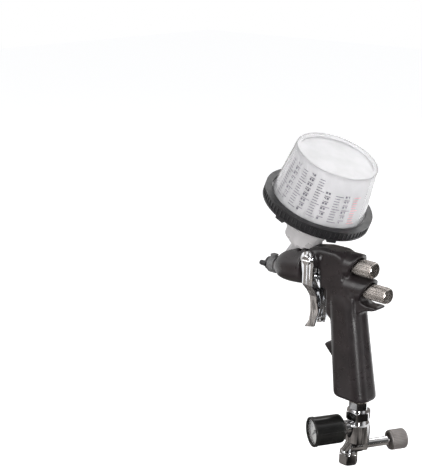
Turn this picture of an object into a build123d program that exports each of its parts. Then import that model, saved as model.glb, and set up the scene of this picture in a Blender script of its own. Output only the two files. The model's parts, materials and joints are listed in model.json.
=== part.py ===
from build123d import *
import math
import os

# HVLP gravity spray gun with a tilted paint cup above and a cheater valve with gauge below.
# Frame: +X is the spray direction, +Y the gun's left side, +Z up.
# The origin is the centre of the hose inlet's mouth. All sizes are in millimetres.

# ---- fits ----
RUN = 0.07            # radial clearance of a running fit
GAP = 0.3             # free clearance between neighbours that move
SEAL_WALL = 0.3       # thickness of a thin gasket

# ---- main axes ----
SPRAY_Z = 182.0       # height of the spray axis
FAN_Z = 203.0         # height of the fan-control axis
PIVOT_X = 44.0        # trigger pivot, level with the fan axis
VALVE_X = -10.0       # upright axis of the cheater valve
CUP_X = 80.0          # where the cup axis meets the spray axis
CUP_LEAN = 24.0       # backward lean of the cup, degrees
GAUGE_TURN = 62.0     # direction of the gauge, degrees from +X

# ---- needle and air valve ----
NEEDLE_R = 1.5
NEEDLE_TIP_R = 0.8
NEEDLE_TIP_L = 9.0
NEEDLE_REAR_X = -20.0
NEEDLE_TRAVEL = 4.8
STOP_PIN_R = 1.6
NEEDLE_COLLAR_R = 3.2
NEEDLE_COLLAR_L = 2.5
NEEDLE_COLLAR_X = -6.0
NEEDLE_STEP_R = 2.6
NEEDLE_STEP_L = 1.2
AIR_FIRST = 0.8       # stem travel before the needle is picked up
STEM_R = 3.0
STEM_REAR_X = 12.0
STEM_NOSE = 0.6       # chamfer of the end that the trigger pushes
POPPET_R = 5.6
POPPET_L = 3.0
POPPET_X = 14.0
CHAMBER_R = 7.5
CHAMBER_X = 5.0
SEAT_L = 2.2
GLAND_L = 6.0
GLAND_FLATS = 15.0
GLAND_HEAD_L = 2.0
PACKING_R = 3.5
PACKING_L = 3.0
SPRING_WIRE_R = 0.4
VALVE_SPRING_R = 4.8
NEEDLE_SPRING_R = 2.6

# ---- gun body ----
GRIP_BOTTOM = 72.5
GRIP_TOP = 167.0
GRIP_SLOPE = 0.135    # forward shift of the grip for each millimetre up
GRIP_CENTRE_X = -5.0  # grip centre at its bottom
GRIP_BOTTOM_L = 40.5
GRIP_BOTTOM_W = 32.0
GRIP_MIDDLE_L = 38.0
GRIP_MIDDLE_W = 30.0
GRIP_TOP_L = 36.0
GRIP_TOP_W = 28.5
SHOULDER_H = 9.0       # tapered shoulder from the grip into the block
SHOULDER_TOP_L = 31.0
SHOULDER_CORNER_R = 10.0
GRIP_CORNER_R = 13.0
BLOCK_FRONT_X = 33.0  # front face of the handle block, behind the trigger
BLOCK_HALF_W = 12.5
FAN_BARREL_R = 12.5
FAN_REAR_X = 4.0
FLUID_BARREL_R = 12.2
FLUID_REAR_X = -10.0
HOOD_L = 13.0          # reach of each barrel's oblique hood over the top of its knob
HOOD_BORE_R = 8.7
BODY_TOP = 215.5
BRIDGE_BOTTOM = 194.0
BELL_REAR_X = 54.0    # the bell is a dome round the head, from here to its mouth
BELL_FRONT_X = 90.0
BELL_REAR_Z = 192.0
BELL_REAR_R = 19.5
BELL_SHOULDER_Z = 188.6
BELL_SHOULDER_R = 18.0
BELL_MOUTH_Z = 184.6
BELL_MOUTH_R = 12.6
SOCKET_R = 9.1
SOCKET_X = 64.0
SPIGOT_R = 4.4
BOSS_R = 7.0
BOSS_HALF_W = 15.5
PASSAGE_R = 4.5
LINK_R = 3.0
LINK_X = 23.0
FAN_CHAMBER_R = 5.0
FAN_CHAMBER_X = 40.0
FAN_WAY_END_X = 58.0  # end of the level air way to the head
SLOT_H = 30.0         # height of the open slot that the trigger swings in
NOTCH_H = 60.0
REBATE_X = 25.2       # side rebates that the pulled trigger enters
REBATE_BOTTOM = 150.0
REBATE_TOP = 176.5
TANG_TIP_X = -31.0
TANG_Z = 169.0
TANG_HALF_W = 8.0
REST_TIP_X = 30.5     # finger rest on the grip's front
REST_Z = 118.0
REST_HALF_W = 6.0

# ---- trigger ----
TRIGGER_HALF_W = 18.0
TRIGGER_WALL = 2.0
FINGER_HALF_W = 9.5
EAR_R = 8.0
WEB_TOP = 190.0
WEB_X = 47.5          # rear face of the web on the spray axis
TRIGGER_BOTTOM = 131.0
PIVOT_PIN_R = 3.0
PIVOT_HEAD_R = 5.2
PIVOT_HEAD_L = 2.6
PIVOT_DEPTH = 8.0

# ---- knobs of the gun ----
KNOB_R = 7.8
KNOB_WALL = 2.2
KNOB_TEETH = 30
KNOB_TOOTH_R = 0.45
FAN_KNOB_L = 24.0
FLUID_KNOB_L = 26.5
SLEEVE_R = 5.3
SLEEVE_BORE_R = 3.6
SHOULDER_R = 7.2
SHOULDER_L = 2.5
THREAD_R = 6.2
THREAD_L = 12.0
FAN_STEM_R = 2.5
FAN_CONE_R = 3.9
FAN_DISC_L = 2.5
FAN_CONE_L = 3.0
FAN_TRAVEL = 2.4

# ---- atomising head ----
HEAD_BARREL_R = 8.8
HEAD_BARREL_X = 70.0
HEAD_CONE_X = 90.0
HEAD_FRONT_R = 6.4
HEAD_CONE_L = 7.0
HEAD_THREAD_L = 5.0
AIR_WAY_R = 0.8       # air ways around the nose of the head
FLUID_BORE_R = 3.8
NECK_X = 90.0         # where the neck leaves the spray axis
NECK_RUN = 20.0       # length of the bell's open slot behind that point
NECK_R = 7.5
NECK_BORE_R = 5.5
PORT_R = 14.0
PORT_S = 34.0         # start of the port, measured along the cup axis
PORT_END_S = 46.0
PORT_CONE_L = 3.0
PORT_LUG_R = 16.2
TIP_L = 8.0           # reach of the fluid tip beyond the head
TIP_BORE_R = 1.0
CAP_SEAT = 0.2        # gap between the head's front and the air cap
CAP_FLANGE_R = 7.2
CAP_FLANGE_L = 1.6
CAP_R = 6.6
CAP_L = 7.0           # reach of the air cap beyond the head
CAP_HOLE_R = 2.6
HORN_L = 6.5          # reach of the horns beyond the air cap
HORN_Y = 4.5
HORN_R = 3.0
HORN_TIP_R = 2.5
HORN_JET_R = 0.8
RING_R = 8.6
RING_REACH = 3.5      # reach of the retaining ring beyond the head

# ---- lid, cup and collar ----
SPOUT_R = 10.0
SPOUT_BORE_R = 7.5
LID_START_S = 49.0
LID_NECK_R = 21.0
LID_NECK_S = 54.0
LID_RIM_S = 72.0
LID_WALL = 2.0
LID_STEP = 2.0        # how far the lid stands inside the cup's rim
CUP_RIM_S = 79.0
CUP_END_S = 134.0
CUP_RIM_R = 46.5
CUP_END_R = 40.0
CUP_WALL = 1.8
CUP_FOOT_H = 2.0
CUP_FLANGE_W = 3.0
CUP_FLANGE_L = 2.4
LINER_WALL = 0.5
COLLAR_WALL = 3.2     # collar outside the cup's flange
COLLAR_BOTTOM_S = 74.5
COLLAR_TOP_S = 84.5
COLLAR_RIBS = 72
RIB_R = 0.9
HOOK_WALL = 2.8
HOOK_REACH = 7.0
HOOK_W = 8.0

# ---- cheater valve and swivel ----
INLET_FLATS = 17.0
INLET_NUT_TOP = 12.5
INLET_THREAD_R = 5.7
INLET_THREAD_L = 10.0
OBLIQUE_R = 6.5
VALVE_R = 12.0
VALVE_BOTTOM = 27.0
VALVE_TOP = 47.0
VALVE_BORE_R = 4.0
NIPPLE_R = 7.5
NIPPLE_TOP = 55.0
SWIVEL_FLATS = 22.0
SWIVEL_BOTTOM = 51.5
SWIVEL_TOP = 59.5
TAIL_R = 6.6
TAIL_FLANGE_R = 8.6
TAIL_FLANGE_L = 2.0
TAIL_BORE_R = 4.2
TOP_FLATS = 17.5
TOP_NUT_BOTTOM = 61.5
TOP_NUT_TOP = 69.5
TAIL_THREAD_R = 5.2
BUSH_R = 8.0
BUSH_FLANGE_R = 10.0
BUSH_TOP = 87.0
STEM_Z = 19.5         # height of the valve's stem
BONNET_R = 4.4
BONNET_END = 38.0
BONNET_HEX = 12.5
VALVE_STEM_R = 2.0
VALVE_KNOB_R = 10.0
VALVE_KNOB_START = 39.0
VALVE_KNOB_END = 56.0
VALVE_KNOB_TEETH = 40

# ---- pressure gauge ----
GAUGE_Z = 42.5
GAUGE_R = 14.0
GAUGE_START = 17.0
GAUGE_END = 48.5
GAUGE_WALL = 1.4
BEZEL_L = 3.0
BEZEL_LIP = 1.6
LENS_L = 1.2
DIAL_L = 0.8
DIAL_DEPTH = 6.0
POINTER_L = 9.0
POINTER_W = 1.2
SPINDLE_R = 0.7
FITTING_R = 5.0
FITTING_HEX = 12.0
FITTING_THREAD_L = 6.0
MOVEMENT_DEPTH = 5.0  # centre of the Bourdon tube behind the case's back wall
MOVEMENT_BLOCK_W = 5.0
MOVEMENT_BLOCK_H = 6.0
BOURDON_R = 8.0
BOURDON_TUBE_R = 1.5
POINTER_REST = -45.0  # pointer against its stop, degrees from straight down
SCREW_R = 1.5
SCREW_HEAD_R = 3.0

UPWARD = (Align.CENTER, Align.CENTER, Align.MIN)
CUP_FRAME = Pos(CUP_X, 0, SPRAY_Z) * Rot(0, -CUP_LEAN, 0)
GAUGE_FRAME = Pos(VALVE_X, 0, GAUGE_Z) * Rot(0, 0, GAUGE_TURN) * Rot(0, 90, 0)
OBLIQUE_SLOPE = VALVE_X / (VALVE_BOTTOM - INLET_NUT_TOP)
STEM_X = OBLIQUE_SLOPE * (STEM_Z - INLET_NUT_TOP)
NECK_TOP = (CUP_X - (PORT_S - 1) * math.sin(math.radians(CUP_LEAN)),
            SPRAY_Z + (PORT_S - 1) * math.cos(math.radians(CUP_LEAN)))
BELL_L = BELL_FRONT_X - BELL_REAR_X
HEAD_THREAD_X = HEAD_CONE_X + HEAD_CONE_L
HEAD_FRONT_X = HEAD_THREAD_X + HEAD_THREAD_L
TIP_FRONT_X = HEAD_FRONT_X + TIP_L
CAP_FRONT_X = HEAD_FRONT_X + CAP_L
HORN_FRONT_X = CAP_FRONT_X + HORN_L
RING_FRONT_X = HEAD_FRONT_X + RING_REACH
LID_R = CUP_RIM_R - LID_STEP
CUP_FLANGE_R = CUP_RIM_R + CUP_FLANGE_W
COLLAR_R = CUP_FLANGE_R + COLLAR_WALL
STEM_FRAME = Pos(STEM_X, 0, STEM_Z) * Rot(0, 0, GAUGE_TURN + 180) * Rot(0, 90, 0)


# ---- shape helpers ----
def rod(radius, start, end):
    """Round bar along the local Z axis."""
    return Pos(0, 0, start) * Cylinder(radius, end - start, align=UPWARD)


def tube(outer, inner, start, end):
    """Hollow bar along the local Z axis."""
    return rod(outer, start, end) - rod(inner, start - 1, end + 1)


def cone(first, last, start, end):
    """Cone along the local Z axis."""
    return Pos(0, 0, start) * Cone(first, last, end - start, align=UPWARD)


def along_x(shape, height):
    """Lays a shape built on the Z axis along +X at the given height."""
    return Pos(0, 0, height) * Rot(0, 90, 0) * shape


def hexagon(flats, start, end):
    """Hexagonal bar with lightly turned corners, along the local Z axis."""
    bar = Pos(0, 0, start) * extrude(RegularPolygon(flats / 2, 6, major_radius=False), end - start)
    crown = rod(flats * 0.56, start, end)
    crown = chamfer(crown.edges().filter_by(GeomType.CIRCLE), flats * 0.035)
    return bar & crown


def toothed(radius, teeth, tooth_radius, start, end):
    """Fluted bar for finger grip, along the local Z axis."""
    outline = Circle(radius) - PolarLocations(radius + tooth_radius * 0.4, teeth) * Circle(tooth_radius)
    return Pos(0, 0, start) * extrude(outline, end - start)


def spring(radius, start, end, turns):
    """Coil spring along the local Z axis."""
    path = Helix((end - start) / turns, end - start, radius)
    section = Plane(origin=path @ 0, z_dir=path % 0) * Circle(SPRING_WIRE_R)
    return Pos(0, 0, start) * sweep(section, path=path)


def side_plate(points, half_width):
    """Plate cut to a side outline in the XZ plane, symmetric about Y = 0."""
    return extrude(make_face(Polyline(*[(x, 0, z) for x, z in points], close=True)), half_width,
                   dir=(0, 1, 0), both=True)


def bar_between(start, end, radius):
    """Round bar between two points of the XZ plane."""
    run = Vector(end[0] - start[0], 0, end[1] - start[1])
    frame = Plane(origin=(start[0], 0, start[1]), z_dir=run)
    return frame * Cylinder(radius, run.length, align=UPWARD)


def grip_centre(height):
    """X of the grip's centre line at a height."""
    return GRIP_CENTRE_X + GRIP_SLOPE * (height - GRIP_BOTTOM)


# ---- gun body ----
def grip_section(height, length, width, corner):
    """One level section of the grip."""
    return Pos(grip_centre(height), 0, height) * RectangleRounded(length, width, corner)


def hood(radius, rear_x, height):
    """Oblique rear end of a barrel: full length on top, none below."""
    wedge = side_plate([
        (rear_x + 1, height - radius), (rear_x, height - radius),
        (rear_x - HOOD_L, height + radius), (rear_x + 1, height + radius),
    ], radius)
    return wedge & along_x(rod(radius, rear_x - HOOD_L, rear_x + HOOD_L), height)


def body_outside():
    """Outer shape of the moulded gun body."""
    middle = (GRIP_BOTTOM + GRIP_TOP) / 2
    grip = loft([
        grip_section(GRIP_BOTTOM, GRIP_BOTTOM_L, GRIP_BOTTOM_W, GRIP_CORNER_R),
        grip_section(middle, GRIP_MIDDLE_L, GRIP_MIDDLE_W, GRIP_CORNER_R),
        grip_section(GRIP_TOP, GRIP_TOP_L, GRIP_TOP_W, GRIP_CORNER_R),
    ])
    grip = chamfer(grip.faces().sort_by(Axis.Z)[0].edges(), 1.2)
    grip = grip + loft([
        grip_section(GRIP_TOP, GRIP_TOP_L, GRIP_TOP_W, GRIP_CORNER_R),
        grip_section(GRIP_TOP + SHOULDER_H, SHOULDER_TOP_L, 2 * BLOCK_HALF_W, SHOULDER_CORNER_R),
    ])
    top_x = grip_centre(GRIP_TOP)
    block = side_plate([
        (FAN_REAR_X + 3, SPRAY_Z), (FLUID_REAR_X + 3, TANG_Z + 4),
        (top_x - GRIP_TOP_L / 2 + 3, GRIP_TOP - 18), (top_x + GRIP_TOP_L / 2 - 4, GRIP_TOP - 18),
        (BLOCK_FRONT_X - 3, GRIP_TOP - 6), (BLOCK_FRONT_X, GRIP_TOP),
        (BLOCK_FRONT_X, BRIDGE_BOTTOM), (BELL_REAR_X, BRIDGE_BOTTOM),
        (BELL_REAR_X, TANG_Z + 6), (BELL_REAR_X + 8, TANG_Z + 6),
        (BELL_REAR_X + 8, BELL_REAR_Z + BELL_REAR_R - 4), (BELL_REAR_X, BODY_TOP - 7),
        (BELL_REAR_X - 9, BODY_TOP - 2),
        (BLOCK_FRONT_X, BODY_TOP), (FAN_REAR_X + 10, BODY_TOP), (FAN_REAR_X + 3, BODY_TOP - 3),
    ], BLOCK_HALF_W)
    block = fillet(block.edges().filter_by(Axis.Y, reverse=True).filter_by(
        lambda edge: edge.center().Z > BRIDGE_BOTTOM + 4), 4.5)
    fan_barrel = rod(FAN_BARREL_R, FAN_REAR_X, BELL_REAR_X + 6)
    fan_barrel = fillet(fan_barrel.edges().filter_by(GeomType.CIRCLE).sort_by(Axis.Z)[0], 3)
    fluid_barrel = rod(FLUID_BARREL_R, FLUID_REAR_X, BLOCK_FRONT_X)
    fluid_barrel = fillet(fluid_barrel.edges().filter_by(GeomType.CIRCLE).sort_by(Axis.Z)[0], 3)
    bell = loft([
        Pos(BELL_REAR_X, 0, BELL_REAR_Z) * Rot(0, 90, 0) * Circle(BELL_REAR_R),
        Pos(BELL_REAR_X + BELL_L / 3, 0, (BELL_REAR_Z + BELL_SHOULDER_Z) / 2) * Rot(0, 90, 0)
        * Circle((BELL_REAR_R + BELL_SHOULDER_R) / 2 + 0.3),
        Pos(BELL_REAR_X + BELL_L * 0.62, 0, BELL_SHOULDER_Z) * Rot(0, 90, 0) * Circle(BELL_SHOULDER_R),
        Pos(BELL_FRONT_X, 0, BELL_MOUTH_Z) * Rot(0, 90, 0) * Circle(BELL_MOUTH_R),
    ])
    boss = Pos(PIVOT_X, 0, FAN_Z) * Rot(90, 0, 0) * Cylinder(BOSS_R, 2 * BOSS_HALF_W)
    tang = side_plate([
        (top_x - 6, GRIP_TOP - 10), (top_x - GRIP_TOP_L / 2 + 1, GRIP_TOP - 8),
        (TANG_TIP_X + 14, TANG_Z - 5.5), (TANG_TIP_X + 5, TANG_Z - 3.5), (TANG_TIP_X, TANG_Z - 1.5),
        (TANG_TIP_X + 1, TANG_Z + 1), (TANG_TIP_X + 12, TANG_Z + 0.5), (FLUID_REAR_X + 3, TANG_Z + 4),
        (top_x, TANG_Z + 6),
    ], TANG_HALF_W)
    front_x = grip_centre(REST_Z) + GRIP_MIDDLE_L / 2
    finger_rest = side_plate([
        (front_x - 5, REST_Z + 9), (front_x - 0.5, REST_Z + 7), (REST_TIP_X - 1.5, REST_Z + 1.5),
        (REST_TIP_X, REST_Z - 0.5), (REST_TIP_X - 1, REST_Z - 2), (front_x - 1, REST_Z - 12),
        (front_x - 5, REST_Z - 13),
    ], REST_HALF_W)
    return (grip + block + along_x(fan_barrel, FAN_Z) + along_x(fluid_barrel, SPRAY_Z)
            + hood(FAN_BARREL_R, FAN_REAR_X, FAN_Z) + hood(FLUID_BARREL_R, FLUID_REAR_X, SPRAY_Z)
            + bell + boss + tang + finger_rest)


def body_bores():
    """Everything that is bored or cut out of the gun body."""
    spray_bores = (
        rod(HOOD_BORE_R, FLUID_REAR_X - HOOD_L - 1, FLUID_REAR_X)
        + rod(THREAD_R, FLUID_REAR_X - 1, FLUID_REAR_X + THREAD_L)
        + rod(PACKING_R, FLUID_REAR_X, CHAMBER_X + 1)
        + rod(CHAMBER_R, CHAMBER_X, BLOCK_FRONT_X + 1)
        + rod(SPIGOT_R + GAP, BELL_REAR_X - 1, SOCKET_X + 1)
        + rod(SOCKET_R, SOCKET_X, BELL_FRONT_X + 1)
    )
    fan_bores = (
        rod(HOOD_BORE_R, FAN_REAR_X - HOOD_L - 1, FAN_REAR_X)
        + rod(THREAD_R, FAN_REAR_X - 1, FAN_REAR_X + THREAD_L)
        + rod(FAN_CHAMBER_R, FAN_REAR_X, FAN_CHAMBER_X)
        + rod(LINK_R, FAN_REAR_X, FAN_WAY_END_X)
    )
    link = Pos(LINK_X, 0, SPRAY_Z) * Cylinder(LINK_R, FAN_Z - SPRAY_Z, align=UPWARD)
    front_link = bar_between((FAN_WAY_END_X - LINK_R, FAN_Z),
                             (SOCKET_X + LINK_R, SPRAY_Z + SOCKET_R - LINK_R), LINK_R)
    inlet = Pos(VALVE_X, 0, 0) * (rod(BUSH_R, GRIP_BOTTOM - 1, BUSH_TOP)
                                  + rod(PASSAGE_R, BUSH_TOP - 8, BUSH_TOP + 4))
    riser = bar_between((VALVE_X, BUSH_TOP + 1), (CHAMBER_X + PASSAGE_R, SPRAY_Z - 2), PASSAGE_R)
    slot = Pos(BLOCK_FRONT_X, 0, BRIDGE_BOTTOM) * Box(
        BELL_REAR_X - BLOCK_FRONT_X, 4 * BELL_REAR_R, SLOT_H, align=(Align.MIN, Align.CENTER, Align.MAX))
    notch = Pos(NECK_X - NECK_RUN, 0, SPRAY_Z) * Box(
        BELL_FRONT_X - SOCKET_X, 2 * (NECK_R + 2 * GAP), NOTCH_H, align=(Align.MIN, Align.CENTER, Align.MIN))
    neck_way = bar_between((NECK_X, SPRAY_Z), NECK_TOP, NECK_R + 2 * GAP)
    sweep_clearance = CUP_FRAME * (
        rod(PORT_R + 2 * GAP, PORT_S - PORT_CONE_L - GAP, PORT_END_S)
        + rod(PORT_LUG_R + HOOK_WALL + 2 * GAP, PORT_END_S - HOOK_REACH - 2 * GAP, COLLAR_TOP_S))
    pivot_holes = Pos(PIVOT_X, 0, FAN_Z) * Rot(90, 0, 0) * (
        rod(PIVOT_PIN_R, PIVOT_DEPTH, BOSS_HALF_W + 1) + rod(PIVOT_PIN_R, -BOSS_HALF_W - 1, -PIVOT_DEPTH))
    rebate = Pos(REBATE_X, FINGER_HALF_W - TRIGGER_WALL - 2 * GAP, REBATE_BOTTOM) * Box(
        BELL_REAR_X - REBATE_X, 2 * BLOCK_HALF_W, REBATE_TOP - REBATE_BOTTOM, align=Align.MIN)
    return (along_x(spray_bores, SPRAY_Z) + along_x(fan_bores, FAN_Z) + link + front_link
            + inlet + riser + slot + notch + neck_way + sweep_clearance + pivot_holes
            + rebate + mirror(rebate, Plane.XZ))


def gun_body():
    return body_outside() - body_bores()


# ---- trigger and its pivot ----
def trigger_envelope(inset):
    """Outline of the trigger from the side and from the front, drawn in by the wall."""
    front = [(WEB_X, WEB_TOP), (WEB_X, SPRAY_Z - 5), (WEB_X - 1.5, SPRAY_Z - 13), (WEB_X - 3.7, SPRAY_Z - 24),
             (WEB_X - 4.0, TRIGGER_BOTTOM + 17), (WEB_X - 2.4, TRIGGER_BOTTOM + 8),
             (WEB_X + 3.0, TRIGGER_BOTTOM)]
    rear = [(PIVOT_X - 3.0, TRIGGER_BOTTOM + 2.5), (PIVOT_X - 5.0, TRIGGER_BOTTOM + 9),
            (PIVOT_X - 8.0, TRIGGER_BOTTOM + 19), (PIVOT_X - 6.0, SPRAY_Z - 20), (PIVOT_X - 6.0, SPRAY_Z - 5),
            (PIVOT_X - 7.0, WEB_TOP), (PIVOT_X - EAR_R, FAN_Z)]
    if inset:
        outline = front + [(x - 20, z) for x, z in rear]
        outline = outline + [(PIVOT_X - 30, WEB_TOP + 25), (WEB_X + 20, WEB_TOP + 25), (WEB_X + 20, WEB_TOP)]
    else:
        outline = [(x + TRIGGER_WALL, z) for x, z in front] + rear
        outline = outline + [(PIVOT_X, FAN_Z), (PIVOT_X + EAR_R, FAN_Z)]
    side = side_plate(outline, TRIGGER_HALF_W - inset)
    wide = TRIGGER_HALF_W - inset
    slim = FINGER_HALF_W - inset
    yoke = SPRAY_Z - 4
    mask = make_face(Polyline(
        (0, -wide, FAN_Z + 2 * EAR_R), (0, wide, FAN_Z + 2 * EAR_R), (0, wide, yoke),
        (0, slim + 3, yoke - 7), (0, slim, yoke - 13), (0, slim, TRIGGER_BOTTOM - 5),
        (0, -slim, TRIGGER_BOTTOM - 5), (0, -slim, yoke - 13), (0, -slim - 3, yoke - 7),
        (0, -wide, yoke), close=True))
    return side & extrude(mask, 100, dir=(1, 0, 0))


def trigger():
    """Pressed U-section trigger with two ears and a slot that the needle passes through."""
    ears = Pos(PIVOT_X, 0, FAN_Z) * Rot(90, 0, 0) * Cylinder(EAR_R, 2 * TRIGGER_HALF_W)
    between = Pos(PIVOT_X, 0, FAN_Z) * Box(4 * EAR_R, 2 * (TRIGGER_HALF_W - TRIGGER_WALL), 4 * EAR_R)
    outer = trigger_envelope(0)
    inner = trigger_envelope(TRIGGER_WALL)
    slot = Pos(WEB_X, 0, SPRAY_Z) * Rot(0, 90, 0) * SlotOverall(2 * (NEEDLE_R + 2.2), 2 * (NEEDLE_R + 0.8))
    holes = Pos(PIVOT_X, 0, FAN_Z) * Rot(90, 0, 0) * Cylinder(PIVOT_PIN_R + RUN, 4 * TRIGGER_HALF_W)
    return ((outer - inner) + (ears - between)) - holes - extrude(
        slot, 10, dir=(1, 0, 0), both=True)


def pivot_screws():
    """Two shoulder screws, one from each side."""
    one = (rod(PIVOT_PIN_R, PIVOT_DEPTH, TRIGGER_HALF_W + GAP)
           + rod(PIVOT_HEAD_R, TRIGGER_HALF_W + GAP, TRIGGER_HALF_W + GAP + PIVOT_HEAD_L))
    one = fillet(one.edges().filter_by(GeomType.CIRCLE).sort_by(Axis.Z)[-1], PIVOT_HEAD_L * 0.6)
    one -= Pos(0, 0, TRIGGER_HALF_W + GAP + PIVOT_HEAD_L) * Box(2 * PIVOT_HEAD_R, 1.2, 2)
    right = Pos(PIVOT_X, 0, FAN_Z) * Rot(90, 0, 0) * one
    return Compound(children=[right, mirror(right, Plane.XZ)])


# ---- needle line, from the rear forwards ----
def fluid_needle():
    tip_x = TIP_FRONT_X - 1
    body = (rod(NEEDLE_R, NEEDLE_REAR_X, tip_x - NEEDLE_TIP_L)
            + cone(NEEDLE_R, NEEDLE_TIP_R, tip_x - NEEDLE_TIP_L, tip_x)
            + rod(NEEDLE_COLLAR_R, NEEDLE_COLLAR_X, NEEDLE_COLLAR_X + NEEDLE_COLLAR_L)
            + rod(NEEDLE_STEP_R, STEM_REAR_X - AIR_FIRST - NEEDLE_STEP_L, STEM_REAR_X - AIR_FIRST))
    return along_x(body, SPRAY_Z)


def needle_spring():
    shape = spring(NEEDLE_SPRING_R, knob_floor(FLUID_SLEEVE_END) + SPRING_WIRE_R,
                   NEEDLE_COLLAR_X - SPRING_WIRE_R, 9)
    return along_x(shape, SPRAY_Z)


def rear_packing():
    start = CHAMBER_X - PACKING_L
    return along_x(tube(PACKING_R, NEEDLE_R + RUN, start, CHAMBER_X), SPRAY_Z)


def air_valve_stem():
    """Hollow stem that rides on the needle and carries the valve disc."""
    front = WEB_X - GAP
    body = rod(STEM_R, STEM_REAR_X, front)
    body = chamfer(body.edges().filter_by(GeomType.CIRCLE).sort_by(Axis.Z)[-1], STEM_NOSE)
    body = body + rod(POPPET_R, POPPET_X, POPPET_X + POPPET_L)
    return along_x(body - rod(NEEDLE_R + RUN, STEM_REAR_X - 1, front + 1), SPRAY_Z)


def air_valve_seal():
    start = POPPET_X + POPPET_L
    return along_x(tube(POPPET_R, STEM_R, start, start + 1.0), SPRAY_Z)


def air_valve_seat():
    start = POPPET_X + POPPET_L + 1.0 + 0.05
    return along_x(tube(CHAMBER_R, STEM_R + 1.2, start, start + SEAT_L), SPRAY_Z)


def air_valve_spring():
    return along_x(spring(VALVE_SPRING_R, CHAMBER_X + SPRING_WIRE_R,
                          POPPET_X - SPRING_WIRE_R, 4), SPRAY_Z)


def air_valve_gland():
    """Screwed gland that closes the valve chamber and guides the stem."""
    body = (rod(CHAMBER_R, BLOCK_FRONT_X - GLAND_L, BLOCK_FRONT_X)
            + hexagon(GLAND_FLATS, BLOCK_FRONT_X, BLOCK_FRONT_X + GLAND_HEAD_L))
    bore = rod(STEM_R + RUN, BLOCK_FRONT_X - GLAND_L - 1, BLOCK_FRONT_X + GLAND_HEAD_L + 1)
    return along_x(body - bore, SPRAY_Z)


# ---- control knobs ----
def knob_floor(sleeve_end):
    """Where the inner floor of a knob lies behind its sleeve."""
    return sleeve_end - 3.0


def sleeve(rear_x, length):
    """Screwed sleeve with a shoulder; a control knob turns on it."""
    body = (rod(THREAD_R, rear_x, rear_x + THREAD_L)
            + rod(SHOULDER_R, rear_x - SHOULDER_L, rear_x)
            + rod(SLEEVE_R, rear_x - SHOULDER_L - length, rear_x - SHOULDER_L))
    return body - rod(SLEEVE_BORE_R, rear_x - SHOULDER_L - length - 1, rear_x + THREAD_L + 1)


def knob(front_x, length, sleeve_end):
    """Fluted cap knob, open towards the gun."""
    rear_x = front_x - length
    barrel = toothed(KNOB_R, KNOB_TEETH, KNOB_TOOTH_R, rear_x + 2.2, front_x - 3.0)
    collar = rod(KNOB_R - 0.5, front_x - 3.0, front_x)
    crown = rod(KNOB_R - 0.3, rear_x, rear_x + 2.2)
    crown = chamfer(crown.edges().filter_by(GeomType.CIRCLE).sort_by(Axis.Z)[0], 1.0)
    bore = rod(SLEEVE_R + RUN, knob_floor(sleeve_end), front_x + 1)
    return barrel + collar + crown - bore


FLUID_SLEEVE_L = FLUID_KNOB_L - 8.0
FLUID_SLEEVE_END = FLUID_REAR_X - SHOULDER_L - FLUID_SLEEVE_L
FAN_SLEEVE_L = FAN_KNOB_L - 8.0
FAN_SLEEVE_END = FAN_REAR_X - SHOULDER_L - FAN_SLEEVE_L


def fluid_sleeve():
    return along_x(sleeve(FLUID_REAR_X, FLUID_SLEEVE_L), SPRAY_Z)


def fluid_knob():
    """Knob with an inner pin that stops the needle."""
    body = knob(FLUID_REAR_X - SHOULDER_L - GAP, FLUID_KNOB_L, FLUID_SLEEVE_END)
    stop = rod(STOP_PIN_R, knob_floor(FLUID_SLEEVE_END) - 1, NEEDLE_REAR_X - NEEDLE_TRAVEL - GAP)
    return along_x(body + stop, SPRAY_Z)


def fan_sleeve():
    return along_x(sleeve(FAN_REAR_X, FAN_SLEEVE_L), FAN_Z)


def fan_knob():
    return along_x(knob(FAN_REAR_X - SHOULDER_L - GAP, FAN_KNOB_L, FAN_SLEEVE_END), FAN_Z)


def fan_stem():
    """Tapered spindle that throttles the air to the horns."""
    start = knob_floor(FAN_SLEEVE_END)
    cone_start = FAN_CHAMBER_X - FAN_TRAVEL - GAP - FAN_CONE_L
    body = (rod(FAN_STEM_R, start, cone_start)
            + rod(FAN_CONE_R, cone_start - FAN_DISC_L, cone_start)
            + cone(FAN_CONE_R, LINK_R - 2 * GAP, cone_start, cone_start + FAN_CONE_L))
    return along_x(body, FAN_Z)


def fan_packing():
    start = FAN_REAR_X + THREAD_L
    return along_x(tube(FAN_CHAMBER_R, FAN_STEM_R + RUN, start, start + PACKING_L), FAN_Z)


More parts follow.
